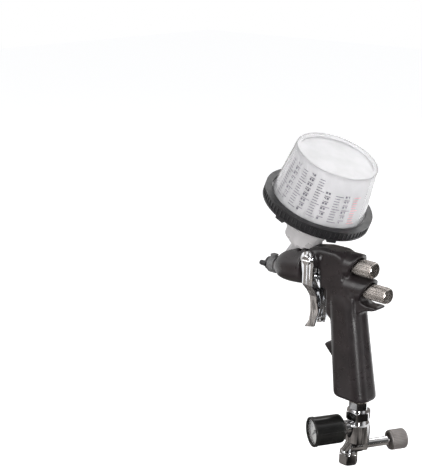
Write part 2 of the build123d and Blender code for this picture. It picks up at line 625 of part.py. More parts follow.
# ---- atomising head ----
def head_body():
    """Moulded fluid head: spigot, barrel, nose and the leaning neck with the cup's port."""
    solid = (rod(SPIGOT_R, BELL_REAR_X + 2, HEAD_BARREL_X)
             + rod(HEAD_BARREL_R, HEAD_BARREL_X, HEAD_CONE_X)
             + cone(HEAD_BARREL_R, HEAD_FRONT_R, HEAD_CONE_X, HEAD_THREAD_X)
             + rod(HEAD_FRONT_R, HEAD_THREAD_X, HEAD_FRONT_X))
    neck = bar_between((NECK_X, SPRAY_Z), NECK_TOP, NECK_R)
    port = cone(NECK_R, PORT_R, PORT_S - PORT_CONE_L, PORT_S) + rod(PORT_R, PORT_S, PORT_END_S)
    lugs = tube(PORT_LUG_R, PORT_R - 0.5, PORT_END_S - 4, PORT_END_S - 1)
    lugs &= Pos(0, 0, PORT_S) * Box(HOOK_W + 2, 4 * PORT_LUG_R, 2 * PORT_END_S, align=UPWARD)
    neck_bore = bar_between((NECK_X, SPRAY_Z), NECK_TOP, NECK_BORE_R)
    port_bores = (rod(NECK_BORE_R, PORT_S - PORT_CONE_L - 1, PORT_S + 1)
                  + rod(SPOUT_R + RUN, PORT_S, PORT_END_S + 1))
    bores = (rod(NEEDLE_R + RUN, BELL_REAR_X, HEAD_BARREL_X + 4)
             + rod(SPIGOT_R - 1.2, BELL_REAR_X, BELL_REAR_X + 8)
             + rod(FLUID_BORE_R, HEAD_BARREL_X + 3, HEAD_FRONT_X + 1))
    body = along_x(solid, SPRAY_Z) + neck + CUP_FRAME * (port + lugs)
    body = body - along_x(bores, SPRAY_Z) - neck_bore - CUP_FRAME * port_bores
    for turn in (-50, -25, 0, 25, 50):
        way = Pos(HEAD_FRONT_R - 1.3, 0, 0) * rod(AIR_WAY_R, HEAD_BARREL_X - 1, HEAD_FRONT_X + 1)
        body = body - along_x(Rot(0, 0, turn) * way, SPRAY_Z)
    return body


def needle_packing():
    start = BELL_REAR_X + 5
    return along_x(tube(SPIGOT_R - 1.2, NEEDLE_R + RUN, start, start + PACKING_L), SPRAY_Z)


def packing_nut():
    start = BELL_REAR_X + 2
    return along_x(tube(SPIGOT_R - 1.2, NEEDLE_R + RUN, start, start + PACKING_L), SPRAY_Z)


def fluid_tip():
    base = rod(FLUID_BORE_R, HEAD_THREAD_X - 1, HEAD_FRONT_X)
    nose = cone(CAP_HOLE_R + 0.4, TIP_BORE_R + 0.8, HEAD_FRONT_X, TIP_FRONT_X)
    inside = (cone(CAP_HOLE_R - 0.2, TIP_BORE_R, HEAD_THREAD_X - 1, TIP_FRONT_X - 1)
              + rod(TIP_BORE_R, TIP_FRONT_X - 1.1, TIP_FRONT_X + 1))
    return along_x(base + nose - inside, SPRAY_Z)


def air_cap():
    """Air cap with a level pair of horns."""
    start = HEAD_FRONT_X + CAP_SEAT
    solid = rod(CAP_FLANGE_R, start, start + CAP_FLANGE_L) + rod(CAP_R, start, CAP_FRONT_X)
    solid = solid + cone(CAP_R - 1, CAP_HOLE_R + 1.2, CAP_FRONT_X, CAP_FRONT_X + 1.5)
    inside = (rod(CAP_R - 1.6, start - 1, CAP_FRONT_X - 2.2)
              + rod(CAP_HOLE_R, start, CAP_FRONT_X + 3))
    for side in (-1, 1):
        solid = solid + Pos(0, side * HORN_Y, 0) * cone(
            HORN_R, HORN_TIP_R, CAP_FRONT_X - 1.5, HORN_FRONT_X)
        inside = inside + Pos(0, side * HORN_Y, 0) * rod(HORN_JET_R, start, HORN_FRONT_X - 2.0)
    return along_x(solid - inside, SPRAY_Z)


def cap_ring():
    """Retaining ring of the air cap, with a turning tab on top."""
    start = HEAD_THREAD_X + GAP
    flange_end = HEAD_FRONT_X + CAP_SEAT + CAP_FLANGE_L
    body = rod(RING_R, start, RING_FRONT_X)
    body = chamfer(body.edges().filter_by(GeomType.CIRCLE).sort_by(Axis.Z)[-1], 1.0)
    bores = (rod(HEAD_FRONT_R + RUN, start - 1, HEAD_FRONT_X)
             + rod(CAP_FLANGE_R + RUN, HEAD_FRONT_X, flange_end + CAP_SEAT)
             + rod(CAP_R + RUN, start, RING_FRONT_X + 1))
    tab = Pos(-RING_R, 0, start + 1) * Box(4.5, 5, RING_FRONT_X - start - 2, align=UPWARD)
    return along_x(body + tab - bores, SPRAY_Z)


# ---- paint cup ----
def lid():
    """Conical lid with a spout, and a skirt with two catches that grip the head's port."""
    spout = rod(SPOUT_R, PORT_S + 1, LID_START_S)
    outer = (cone(PORT_R, LID_NECK_R, LID_START_S - 2, LID_START_S)
             + rod(LID_NECK_R, LID_START_S, LID_NECK_S)
             + cone(LID_NECK_R, LID_R, LID_NECK_S, LID_RIM_S) + rod(LID_R, LID_RIM_S, CUP_RIM_S))
    inner = (rod(LID_NECK_R - LID_WALL, LID_START_S + LID_WALL, LID_NECK_S + 1)
             + cone(LID_NECK_R - LID_WALL, LID_R - LID_WALL, LID_NECK_S + 1, LID_RIM_S + 1)
             + rod(LID_R - LID_WALL, LID_RIM_S + 1, CUP_RIM_S + 1)
             + rod(SPOUT_BORE_R, PORT_S, LID_START_S + LID_WALL + 1))
    flange = tube(CUP_FLANGE_R, LID_R - LID_WALL, CUP_RIM_S - CUP_FLANGE_L, CUP_RIM_S)
    hook_start = PORT_END_S - HOOK_REACH
    skirt = tube(PORT_LUG_R + HOOK_WALL, PORT_LUG_R + GAP, hook_start, LID_NECK_S)
    catches = tube(PORT_LUG_R + 1, PORT_R + GAP, hook_start, PORT_END_S - 4 - GAP)
    wedge = Pos(0, 0, PORT_S) * Box(HOOK_W, 4 * PORT_LUG_R, 2 * PORT_END_S, align=UPWARD)
    return CUP_FRAME * (spout + outer + skirt - inner + flange + (catches & wedge))


def paint_filter():
    return CUP_FRAME * rod(SPOUT_BORE_R, LID_START_S - 6, LID_START_S - 5)


def port_seal():
    return CUP_FRAME * tube(SPOUT_R, NECK_BORE_R, PORT_S, PORT_S + 1)


def cup_radius(height):
    """Outer radius of the tapered cup at a height on its axis."""
    share = (height - CUP_RIM_S) / (CUP_END_S - CUP_RIM_S)
    return CUP_RIM_R + share * (CUP_END_R - CUP_RIM_R)


def hard_cup():
    """Clear outer cup, mouth down, with a flange at the mouth and a foot ring on its closed end."""
    floor = CUP_END_S - CUP_FOOT_H
    outer = cone(CUP_RIM_R, CUP_END_R, CUP_RIM_S, CUP_END_S)
    outer = fillet(outer.edges().filter_by(GeomType.CIRCLE).sort_by(Axis.Z)[-1], 1.2)
    inner = cone(CUP_RIM_R - CUP_WALL, cup_radius(floor) - CUP_WALL, CUP_RIM_S - 0.01, floor - CUP_WALL)
    recess = rod(CUP_END_R - 4.0, floor, CUP_END_S + 1)
    flange = tube(CUP_FLANGE_R, CUP_RIM_R - CUP_WALL, CUP_RIM_S, CUP_RIM_S + CUP_FLANGE_L)
    return CUP_FRAME * (outer + flange - inner - recess)


def liner():
    """Thin collapsible liner inside the cup; its lip is clamped over the lid's flange."""
    floor = CUP_END_S - CUP_FOOT_H - CUP_WALL - GAP
    gap = CUP_WALL + GAP
    rim = CUP_RIM_R - gap
    outer = cone(rim, cup_radius(floor) - gap, CUP_RIM_S, floor)
    inner = cone(rim - LINER_WALL, cup_radius(floor) - gap - LINER_WALL, CUP_RIM_S, floor - LINER_WALL)
    return CUP_FRAME * (outer - inner)


def collar():
    """Ribbed clamping collar with bayonet lugs on its lower edge."""
    outline = Circle(COLLAR_R) + PolarLocations(COLLAR_R, COLLAR_RIBS) * Circle(RIB_R)
    ribs = Pos(0, 0, COLLAR_BOTTOM_S + 2) * extrude(outline, COLLAR_TOP_S - COLLAR_BOTTOM_S - 4)
    rims = rod(COLLAR_R + RIB_R, COLLAR_BOTTOM_S, COLLAR_BOTTOM_S + 2) + rod(
        COLLAR_R + RIB_R, COLLAR_TOP_S - 2, COLLAR_TOP_S)
    inside = (rod(CUP_RIM_R + GAP + 0.4, COLLAR_BOTTOM_S, COLLAR_TOP_S + 1)
              + rod(CUP_FLANGE_R + GAP, CUP_RIM_S - CUP_FLANGE_L - GAP, CUP_RIM_S + CUP_FLANGE_L + GAP)
              + rod(CUP_RIM_R + 2, COLLAR_BOTTOM_S - 1, CUP_RIM_S))
    lug = Pos(COLLAR_R - 2.2, 0, COLLAR_BOTTOM_S - 3) * Box(4, 9, 3.5, align=UPWARD)
    lugs = [Rot(0, 0, 60 * step + 30) * lug for step in range(6)]
    body = ribs + rims - inside
    for one in lugs:
        body = body + one
    return CUP_FRAME * body


# ---- air inlet and swivel ----
def inlet_bush():
    """Threaded metal insert moulded into the foot of the grip."""
    body = rod(BUSH_R, GRIP_BOTTOM, BUSH_TOP) + rod(BUSH_FLANGE_R, TOP_NUT_TOP, GRIP_BOTTOM)
    return Pos(VALVE_X, 0, 0) * (body - rod(TAIL_THREAD_R, TOP_NUT_TOP - 1, BUSH_TOP + 1))


def tailpiece():
    """Stud between the grip and the swivel nut, with a hexagon to turn it by."""
    flange_start = NIPPLE_TOP + SEAL_WALL
    body = (rod(TAIL_FLANGE_R, flange_start, flange_start + TAIL_FLANGE_L)
            + rod(TAIL_R, flange_start, TOP_NUT_BOTTOM + 1)
            + hexagon(TOP_FLATS, TOP_NUT_BOTTOM, TOP_NUT_TOP)
            + rod(TAIL_THREAD_R, TOP_NUT_TOP - 1, BUSH_TOP - 2))
    return Pos(VALVE_X, 0, 0) * (body - rod(TAIL_BORE_R, flange_start - 1, BUSH_TOP))


def swivel_seal():
    return Pos(VALVE_X, 0, 0) * tube(NIPPLE_R - 0.5, TAIL_BORE_R, NIPPLE_TOP, NIPPLE_TOP + SEAL_WALL)


def swivel_nut():
    body = hexagon(SWIVEL_FLATS, SWIVEL_BOTTOM, SWIVEL_TOP)
    flange_top = NIPPLE_TOP + SEAL_WALL + TAIL_FLANGE_L
    bores = (rod(NIPPLE_R + RUN, SWIVEL_BOTTOM - 1, NIPPLE_TOP)
             + rod(TAIL_FLANGE_R + RUN, NIPPLE_TOP - 0.1, flange_top + 0.1)
             + rod(TAIL_R + RUN, flange_top, SWIVEL_TOP + 1))
    return Pos(VALVE_X, 0, 0) * (body - bores)


# ---- cheater valve ----
def inlet_nut():
    body = hexagon(INLET_FLATS, 0, INLET_NUT_TOP - 2) + rod(INLET_FLATS / 2, INLET_NUT_TOP - 2, INLET_NUT_TOP)
    bore = rod(INLET_THREAD_R, -1, INLET_THREAD_L) + rod(OBLIQUE_R - 2.5, 0, INLET_NUT_TOP + 1)
    return body - bore


def valve_body():
    """Forged body: upright barrel, oblique neck down to the inlet and two side ports."""
    barrel = rod(VALVE_R, VALVE_BOTTOM, VALVE_TOP)
    barrel = chamfer(barrel.edges().filter_by(GeomType.CIRCLE), 1.2)
    upright = barrel + rod(NIPPLE_R, VALVE_TOP - 1, NIPPLE_TOP)
    neck = bar_between((OBLIQUE_SLOPE * -4, INLET_NUT_TOP - 4), (VALVE_X, VALVE_BOTTOM + 4), OBLIQUE_R)
    neck -= Pos(0, 0, INLET_NUT_TOP) * Box(60, 60, 40, align=(Align.CENTER, Align.CENTER, Align.MAX))
    port_end = VALVE_R + 2
    body = (Pos(VALVE_X, 0, 0) * upright + neck
            + STEM_FRAME * rod(BONNET_HEX * 0.54, -5, BONNET_HEX * 0.5 + 2)
            + GAUGE_FRAME * rod(FITTING_R + 2, 0, port_end))
    up_bore = Pos(VALVE_X, 0, 0) * rod(VALVE_BORE_R, VALVE_BOTTOM + 3, NIPPLE_TOP + 1)
    low_bore = bar_between((0, INLET_NUT_TOP - 1), (STEM_X, STEM_Z), OBLIQUE_R - 2.5)
    cross_bore = bar_between((STEM_X, STEM_Z), (VALVE_X, VALVE_BOTTOM + 4), VALVE_STEM_R)
    stem_bore = STEM_FRAME * (rod(BONNET_R, 0, 40) + rod(VALVE_STEM_R + 0.3, -3, 1))
    gauge_bore = GAUGE_FRAME * (rod(FITTING_R, port_end - FITTING_THREAD_L, port_end + 1)
                                + rod(BOURDON_TUBE_R, 0, port_end))
    return body - up_bore - low_bore - cross_bore - stem_bore - gauge_bore


def valve_bonnet():
    """Hexagonal bonnet with the long sleeve that guides the valve stem."""
    start = BONNET_HEX * 0.5 + 2
    body = (rod(BONNET_R, 2, start) + hexagon(BONNET_HEX, start, start + 5)
            + rod(BONNET_R, start + 4, BONNET_END))
    return STEM_FRAME * (body - rod(VALVE_STEM_R + RUN, 1, BONNET_END + 1))


def bonnet_seal():
    return STEM_FRAME * tube(BONNET_R, VALVE_STEM_R + RUN, 1.2, 2.0)


def valve_stem():
    """Pointed valve stem that meters the air."""
    body = cone(0.6, VALVE_STEM_R, -2.0, 1.0) + rod(VALVE_STEM_R, 1.0, VALVE_KNOB_START + 5)
    return STEM_FRAME * body


def valve_knob():
    """Knurled hand knob with a hub around the end of the bonnet sleeve."""
    start = VALVE_KNOB_START
    end = VALVE_KNOB_END
    body = toothed(VALVE_KNOB_R, VALVE_KNOB_TEETH, KNOB_TOOTH_R, start + 1.5, end - 2)
    ends = rod(VALVE_KNOB_R - 0.6, start, start + 1.5) + rod(VALVE_KNOB_R - 0.4, end - 2, end)
    ends = chamfer(ends.edges().filter_by(GeomType.CIRCLE).sort_by(Axis.Z)[-1], 1.2)
    bores = (rod(VALVE_KNOB_R - 2.6, start - 1, start + 3)
             + rod(VALVE_STEM_R + RUN, start, VALVE_KNOB_START + 8)
             + rod(SCREW_R + RUN, start, end - 1.5) + rod(SCREW_HEAD_R + RUN, end - 2.5, end + 1))
    return STEM_FRAME * (body + ends - bores)


def knob_screw():
    end = VALVE_KNOB_END
    body = rod(SCREW_HEAD_R, end - 2.5, end - 0.7) + rod(SCREW_R, VALVE_KNOB_START + 8 + GAP, end - 2.5)
    return STEM_FRAME * (body - Pos(0, 0, end - 0.7) * Box(2 * SCREW_HEAD_R, 0.8, 1.2))


# ---- pressure gauge ----
def bourdon_ring():
    """The curved pressure tube of the gauge."""
    height = GAUGE_START + GAUGE_WALL + MOVEMENT_DEPTH
    path = CenterArc((0, 0, 0), BOURDON_R, 100, 250)
    section = Plane(origin=path @ 0, z_dir=path % 0) * Circle(BOURDON_TUBE_R)
    return Pos(0, 0, height) * sweep(section, path=path)


def gauge_fitting():
    """Stem of the gauge: thread, hexagon and the block that holds the movement."""
    port_end = VALVE_R + 2
    block = Box(MOVEMENT_BLOCK_W, BOURDON_R + 2 * BOURDON_TUBE_R, MOVEMENT_BLOCK_H, align=UPWARD)
    body = (rod(FITTING_R, port_end - FITTING_THREAD_L, port_end)
            + hexagon(FITTING_HEX, port_end, GAUGE_START)
            + rod(FITTING_R - 1, GAUGE_START, GAUGE_START + GAUGE_WALL + 2)
            + Pos(0, BOURDON_R / 2, GAUGE_START + GAUGE_WALL + 2) * block)
    return GAUGE_FRAME * (body - rod(BOURDON_TUBE_R, port_end - FITTING_THREAD_L - 1, GAUGE_START + 2)
                          - bourdon_ring())


def gauge_case():
    """Drawn cup that houses the movement, open at the dial."""
    outer = rod(GAUGE_R, GAUGE_START, GAUGE_END - BEZEL_L)
    outer = fillet(outer.edges().filter_by(GeomType.CIRCLE).sort_by(Axis.Z)[0], 4.0)
    inner = rod(GAUGE_R - GAUGE_WALL, GAUGE_START + GAUGE_WALL + 2, GAUGE_END)
    step = rod(GAUGE_R - GAUGE_WALL, GAUGE_START + GAUGE_WALL, GAUGE_END) & rod(
        GAUGE_R - 4.0, GAUGE_START, GAUGE_END)
    return GAUGE_FRAME * (outer - inner - step - rod(FITTING_R - 1, GAUGE_START - 1, GAUGE_END))


def gauge_bezel():
    start = GAUGE_END - BEZEL_L
    body = rod(GAUGE_R + 0.6, start, GAUGE_END)
    body = fillet(body.edges().filter_by(GeomType.CIRCLE).sort_by(Axis.Z)[-1], 0.9)
    return GAUGE_FRAME * (body - rod(GAUGE_R - BEZEL_LIP, start - 1, GAUGE_END + 1)
                          - rod(GAUGE_R - 0.8, start - 1, GAUGE_END - 0.8))


def gauge_lens():
    end = GAUGE_END - 0.8
    return GAUGE_FRAME * rod(GAUGE_R - 0.8, end - LENS_L, end)


def gauge_dial():
    start = GAUGE_END - DIAL_DEPTH
    return GAUGE_FRAME * tube(GAUGE_R - GAUGE_WALL, SPINDLE_R + RUN, start, start + DIAL_L)


def gauge_pointer():
    """Pointer with its spindle through the dial; local +X of the gauge points down."""
    start = GAUGE_END - DIAL_DEPTH
    top = start + DIAL_L + GAP
    blade = Pos(POINTER_L / 2 - 2, 0, top) * Box(POINTER_L + 3, POINTER_W, 0.5, align=UPWARD)
    foot = GAUGE_START + GAUGE_WALL + 2 + MOVEMENT_BLOCK_H + GAP
    body = rod(SPINDLE_R, foot, top + 0.5) + rod(1.8, top, top + 0.8) + blade
    return GAUGE_FRAME * Rot(0, 0, POINTER_REST) * body


def gauge_movement():
    """Bourdon tube brazed into the block of the fitting."""
    return GAUGE_FRAME * bourdon_ring()


NODES = (
    gun_body, trigger, pivot_screws, fluid_needle, needle_spring, rear_packing,
    air_valve_stem, air_valve_seal, air_valve_seat, air_valve_spring, air_valve_gland,
    fluid_sleeve, fluid_knob, fan_sleeve, fan_knob, fan_stem, fan_packing,
    head_body, needle_packing, packing_nut, fluid_tip, air_cap, cap_ring,
    lid, paint_filter, port_seal, hard_cup, liner, collar,
    inlet_bush, tailpiece, swivel_seal, swivel_nut, inlet_nut, valve_body, valve_bonnet,
    bonnet_seal, valve_stem, valve_knob, knob_screw,
    gauge_fitting, gauge_case, gauge_bezel, gauge_lens, gauge_dial, gauge_pointer, gauge_movement,
)

os.makedirs("parts", exist_ok=True)
for make in NODES:
    export_step(make(), f"parts/{make.__name__}.step")
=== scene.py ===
"""Studio picture of a gravity-fed spray gun: finishes, printed marks, light and camera."""
import json
import math

import bpy
from mathutils import Matrix, Vector
from mathutils.bvhtree import BVHTree


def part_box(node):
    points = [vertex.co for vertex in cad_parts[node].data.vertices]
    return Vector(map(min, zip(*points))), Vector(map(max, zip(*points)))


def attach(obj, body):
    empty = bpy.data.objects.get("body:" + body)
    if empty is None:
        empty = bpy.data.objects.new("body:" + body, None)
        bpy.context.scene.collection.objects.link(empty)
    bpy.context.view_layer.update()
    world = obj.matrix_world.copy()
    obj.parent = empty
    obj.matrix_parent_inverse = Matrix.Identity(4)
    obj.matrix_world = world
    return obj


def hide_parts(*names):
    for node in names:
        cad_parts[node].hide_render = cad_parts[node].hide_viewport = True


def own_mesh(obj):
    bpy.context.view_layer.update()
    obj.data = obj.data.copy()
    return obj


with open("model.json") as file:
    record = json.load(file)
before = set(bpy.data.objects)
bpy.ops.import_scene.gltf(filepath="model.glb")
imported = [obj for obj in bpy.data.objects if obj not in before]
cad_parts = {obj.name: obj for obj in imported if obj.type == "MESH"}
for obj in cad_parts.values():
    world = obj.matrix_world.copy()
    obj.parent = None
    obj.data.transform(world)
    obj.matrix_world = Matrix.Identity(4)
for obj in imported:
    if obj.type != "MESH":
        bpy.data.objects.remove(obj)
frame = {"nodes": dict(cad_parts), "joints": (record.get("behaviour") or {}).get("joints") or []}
NODES = frame["nodes"]
JOINTS = {joint["name"]: joint for joint in frame["joints"]}
UP = Vector((0, 0, 1))
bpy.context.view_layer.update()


# ---- materials: noise scales are cells for each metre, reliefs and radii are metres ----
class Graph:
    """The shader nodes of one material or of the world."""

    def __init__(self, owner, empty=False):
        owner.use_nodes = True
        self.tree = owner.node_tree
        if empty:
            self.tree.nodes.clear()

    def add(self, kind, inputs=(), **values):
        node = self.tree.nodes.new(kind)
        for key, value in values.items():
            setattr(node, key, value)
        for key, value in dict(inputs).items():
            node.inputs[key].default_value = value
        return node

    def link(self, source, target):
        self.tree.links.new(source, target)

    def math(self, operation, first, second=0.0):
        node = self.add("ShaderNodeMath", operation=operation)
        for socket, value in zip(node.inputs, (first, second)):
            if isinstance(value, (int, float)):
                socket.default_value = value
            else:
                self.link(value, socket)
        return node.outputs[0]

    def carried(self, source, span, ends, **values):
        """A value carried from one span onto another."""
        bounds = {"From Min": span[0], "From Max": span[1], "To Min": ends[0], "To Max": ends[1]}
        node = self.add("ShaderNodeMapRange", bounds, **values)
        self.link(source, node.inputs["Value"])
        return node.outputs["Result"]


class Look(Graph):
    """A Principled material with procedural colour, roughness and relief."""

    def __init__(self, name, colour, rough, metal=0.0, **sockets):
        self.material = bpy.data.materials.new(name)
        super().__init__(self.material)
        self.shader = self.tree.nodes["Principled BSDF"]
        values = {"Base Color": (*colour, 1), "Roughness": rough, "Metallic": metal}
        values.update((key.replace("_", " "), value) for key, value in sockets.items())
        for key, value in values.items():
            self.shader.inputs[key].default_value = value
        self.place = self.add("ShaderNodeTexCoord").outputs["Object"]
        self.height = None

    def noise(self, scale, detail, stretch=(1, 1, 1)):
        spread = self.add("ShaderNodeMapping", {"Scale": stretch})
        self.link(self.place, spread.inputs["Vector"])
        node = self.add("ShaderNodeTexNoise", {"Scale": scale, "Detail": detail, "Roughness": 0.55})
        self.link(spread.outputs["Vector"], node.inputs["Vector"])
        return node.outputs["Fac"]

    def tones(self, source, first, last):
        """Base colour from a ramp over a pattern; first and last are its ends, each a place and a colour."""
        ramp = self.add("ShaderNodeValToRGB")
        for element, (position, colour) in zip(ramp.color_ramp.elements, (first, last)):
            element.position = position
            element.color = (*colour, 1)
        self.link(source, ramp.inputs["Fac"])
        self.link(ramp.outputs["Color"], self.shader.inputs["Base Color"])
        return self

    def roughness(self, source, low, high):
        self.link(self.carried(source, (0.3, 0.7), (low, high)), self.shader.inputs["Roughness"])
        return self

    def relief(self, source, strength, distance):
        """A bump laid over those before it."""
        node = self.add("ShaderNodeBump", {"Strength": strength, "Distance": distance})
        self.link(source, node.inputs["Height"])
        if self.height is not None:
            self.link(self.height, node.inputs["Normal"])
        self.height = node.outputs["Normal"]
        self.link(self.height, self.shader.inputs["Normal"])
        return self

    def knurl(self, origin, axis, radius, pitch):
        """Crossed diamond pattern round an axis, on the rim only."""
        axis = Vector(axis).normalized()
        side = axis.cross(UP).normalized()
        centred = self.add("ShaderNodeVectorMath", operation="SUBTRACT")
        centred.inputs[1].default_value = origin
        self.link(self.place, centred.inputs[0])
        parts = []
        for direction in (axis, side, side.cross(axis)):
            dot = self.add("ShaderNodeVectorMath", operation="DOT_PRODUCT")
            dot.inputs[1].default_value = direction
            self.link(centred.outputs["Vector"], dot.inputs[0])
            parts.append(dot.outputs["Value"])
        count = round(2 * math.pi * radius / pitch)
        turn = self.math("MULTIPLY", self.math("ARCTAN2", parts[1], parts[2]), count)
        along = self.math("MULTIPLY", parts[0], 2 * math.pi / pitch)
        ridges = []
        for slant in ("ADD", "SUBTRACT"):
            phase = self.math("MULTIPLY", self.math(slant, turn, along), 0.5)
            ridges.append(self.math("ABSOLUTE", self.math("SINE", phase)))
        squares = self.math("ADD", self.math("POWER", parts[1], 2.0), self.math("POWER", parts[2], 2.0))
        on_rim = self.math("GREATER_THAN", squares, (radius * 0.9) ** 2)
        return self.math("MULTIPLY", self.math("MINIMUM", *ridges), on_rim)


def metal(name, colour, low, high):
    """Polished or brushed metal: clouded tone, uneven polish from low to high, fine grain."""
    look = Look(name, colour, low, 1.0)
    dark = tuple(v * 0.72 for v in colour)
    look.tones(look.noise(60.0, 4.0), (0.3, dark), (0.62, colour))
    look.roughness(look.noise(220.0, 5.0), low, high)
    return look.relief(look.noise(900.0, 2.0), 0.08, 0.00004)


def plastic(name, dark, light, low, high, grain=2600.0, depth=0.00005, **sockets):
    """Moulded plastic or rubber: tone from dark to light, uneven gloss, moulded grain."""
    look = Look(name, light, low, 0.0, **sockets)
    look.tones(look.noise(45.0, 5.0), (0.3, dark), (0.7, light))
    look.roughness(look.noise(130.0, 4.0), low, high)
    return look.relief(look.noise(grain, 2.0), 0.35, depth)


def clear(name, colour, rough, transmission):
    """Cloudy see-through moulding: light passes, and faint flow marks show."""
    look = Look(name, colour, rough, 0.0, Transmission_Weight=transmission, IOR=1.49)
    shade = tuple(v * 0.90 for v in colour)
    look.tones(look.noise(38.0, 3.0, stretch=(1, 1, 0.3)), (0.38, shade), (0.62, colour))
    look.roughness(look.noise(70.0, 3.0), rough * 0.8, rough * 1.2)
    return look.relief(look.noise(40.0, 1.0), 0.05, 0.0001)


def knob_look(name, node, axis, radius, colour, low, high, pitch):
    """Metal with diamond knurling round the node's own middle."""
    look = metal(name, colour, low, high)
    low_corner, high_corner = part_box(node)
    pattern = look.knurl((low_corner + high_corner) / 2, axis, radius, pitch)
    return look.relief(pattern, 0.5, 0.00022)


body_look = plastic("body_plastic_look", (0.011, 0.0088, 0.0094), (0.022, 0.0172, 0.0182), 0.25, 0.35,
                    grain=3200.0, depth=0.00004, Specular_IOR_Level=0.5)
chrome_look = metal("chrome_look", (0.86, 0.86, 0.87), 0.05, 0.13)
chrome_look.relief(chrome_look.noise(38.0, 1.0), 0.10, 0.0006)
trigger_look = metal("trigger_chrome_look", (0.86, 0.87, 0.89), 0.05, 0.12)
trigger_look.relief(trigger_look.noise(118.0, 0.0, stretch=(1, 1, 0.14)), 1.0, 0.0044)
nickel_look = metal("nickel_look", (0.74, 0.71, 0.66), 0.10, 0.22)
steel_look = metal("steel_look", (0.56, 0.56, 0.57), 0.16, 0.30)
brass_look = metal("brass_look", (0.72, 0.53, 0.24), 0.16, 0.30)
spring_look = metal("spring_look", (0.42, 0.42, 0.43), 0.22, 0.36)
rubber_look = plastic("rubber_look", (0.012, 0.012, 0.012), (0.022, 0.022, 0.022), 0.55, 0.70)
packing_look = plastic("packing_look", (0.66, 0.65, 0.61), (0.78, 0.77, 0.74), 0.42, 0.55)
cap_look = plastic("cap_black_look", (0.010, 0.010, 0.012), (0.022, 0.021, 0.024), 0.26, 0.40)
ring_look = plastic("ring_grey_look", (0.13, 0.128, 0.13), (0.20, 0.198, 0.20), 0.22, 0.36,
                    Transmission_Weight=0.15)
collar_look = plastic("collar_black_look", (0.008, 0.008, 0.009), (0.019, 0.018, 0.020), 0.30, 0.46)
gauge_look = plastic("gauge_black_look", (0.006, 0.006, 0.006), (0.013, 0.013, 0.012), 0.10, 0.20,
                     grain=900.0, depth=0.00003)
face_look = plastic("gauge_face_look", (0.78, 0.79, 0.77), (0.88, 0.88, 0.86), 0.40, 0.52)
pointer_look = plastic("pointer_black_look", (0.010, 0.010, 0.010), (0.020, 0.018, 0.018), 0.35, 0.5)
print_look = plastic("scale_print_look", (0.05, 0.045, 0.06), (0.13, 0.12, 0.15), 0.45, 0.6)
red_print_look = plastic("scale_print_red_look", (0.46, 0.13, 0.15), (0.62, 0.24, 0.26), 0.45, 0.6)
cup_look = clear("cup_clear_look", (0.985, 0.98, 0.99), 0.12, 0.70)
liner_look = clear("liner_clear_look", (0.98, 0.975, 0.985), 0.45, 0.12)
head_look = clear("head_clear_look", (0.62, 0.60, 0.60), 0.30, 0.30)
lens_look = clear("gauge_lens_look", (0.97, 0.97, 0.97), 0.03, 1.0)
mesh_look = Look("filter_mesh_look", (0.55, 0.56, 0.58), 0.5)
mesh_look.relief(mesh_look.noise(1500.0, 1.0), 0.5, 0.0002)
mesh_look.tones(mesh_look.noise(900.0, 1.0), (0.4, (0.30, 0.31, 0.33)), (0.6, (0.62, 0.63, 0.65)))

SPRAY_AXIS = (1, 0, 0)
VALVE_AXIS = JOINTS["valve_knob_turn"]["axis"]
REAR_KNOB = (SPRAY_AXIS, 0.0078, (0.54, 0.50, 0.47), 0.14, 0.26, 0.0013)
VALVE_KNOB = (VALVE_AXIS, 0.010, (0.37, 0.345, 0.335), 0.30, 0.42, 0.0012)
fan_knob_look = knob_look("fan_knob_look", "fan_knob", *REAR_KNOB)
fluid_knob_look = knob_look("fluid_knob_look", "fluid_knob", *REAR_KNOB)
valve_knob_look = knob_look("valve_knob_look", "valve_knob", *VALVE_KNOB)

LOOKS = {
    body_look: ("gun_body",),
    trigger_look: ("trigger",),
    chrome_look: ("pivot_screws", "tailpiece", "swivel_nut", "inlet_nut", "valve_body",
                  "valve_bonnet", "knob_screw", "gauge_fitting"),
    nickel_look: ("fluid_sleeve", "fan_sleeve", "inlet_bush", "air_valve_gland"),
    fan_knob_look: ("fan_knob",),
    fluid_knob_look: ("fluid_knob",),
    valve_knob_look: ("valve_knob",),
    steel_look: ("fluid_needle", "air_valve_stem", "fan_stem", "fluid_tip", "valve_stem"),
    spring_look: ("needle_spring", "air_valve_spring"),
    brass_look: ("air_valve_seat", "packing_nut", "gauge_movement"),
    rubber_look: ("air_valve_seal", "port_seal", "swivel_seal", "bonnet_seal"),
    packing_look: ("rear_packing", "fan_packing", "needle_packing"),
    cap_look: ("air_cap",),
    ring_look: ("cap_ring",),
    head_look: ("head_body", "lid"),
    cup_look: ("hard_cup",),
    liner_look: ("liner",),
    collar_look: ("collar",),
    mesh_look: ("paint_filter",),
    gauge_look: ("gauge_case", "gauge_bezel"),
    lens_look: ("gauge_lens",),
    face_look: ("gauge_dial",),
    pointer_look: ("gauge_pointer",),
}
for look, names in LOOKS.items():
    for name in names:
        for slot in NODES[name].material_slots:
            slot.material = look.material


# ---- new pieces ----
def new_piece(name, mesh, look, body):
    piece = bpy.data.objects.new(name, mesh)
    bpy.context.collection.objects.link(piece)
    mesh.materials.clear()
    mesh.materials.append(look.material)
    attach(piece, body)
    return piece


def applied(piece):
    """Replaces a piece's mesh by its mesh with the modifiers applied."""
    graph = bpy.context.evaluated_depsgraph_get()
    mesh = bpy.data.meshes.new_from_object(piece.evaluated_get(graph))
    piece.modifiers.clear()
    piece.data = mesh


